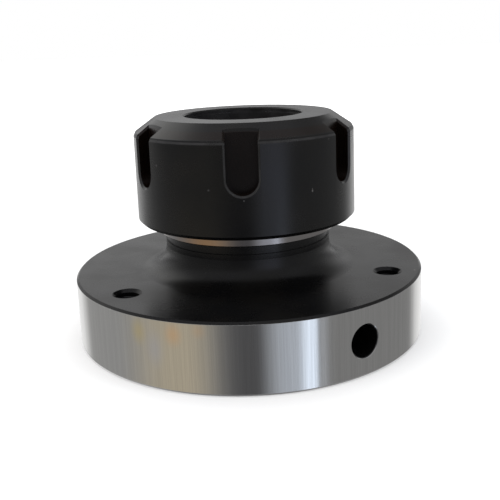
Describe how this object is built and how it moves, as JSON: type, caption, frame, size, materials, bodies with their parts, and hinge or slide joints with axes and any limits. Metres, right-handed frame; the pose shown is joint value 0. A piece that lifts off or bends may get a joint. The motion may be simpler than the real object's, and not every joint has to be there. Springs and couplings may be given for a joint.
{
  "type": "collet chuck holder",
  "caption": "Flanged steel collet chuck body with a ground rim, flared neck and threaded nose, and a slotted clamping nut screwed down on it.",
  "frame": {"origin": "centre of the flange's back face, on the spindle axis", "axes": "+Z along the spindle axis, from the flange's back face to the nut; -Y through one of the nut's slots at rest"},
  "size_m": [0.08, 0.08, 0.05],
  "materials": {
    "chuck_body": "black oxide, with the flange's rim and the collar ground bright",
    "clamping_nut": "black oxide, satin"
  },
  "bodies": {
    "holder": {"chuck_body": "chuck_body"},
    "nut": {"clamping_nut": "clamping_nut"}
  },
  "joints": [
    {"name": "nut_travel", "type": "slide", "parent": "holder", "child": "nut", "axis": [0, 0, 1], "range_m": [0, 0.0105]}
  ]
}
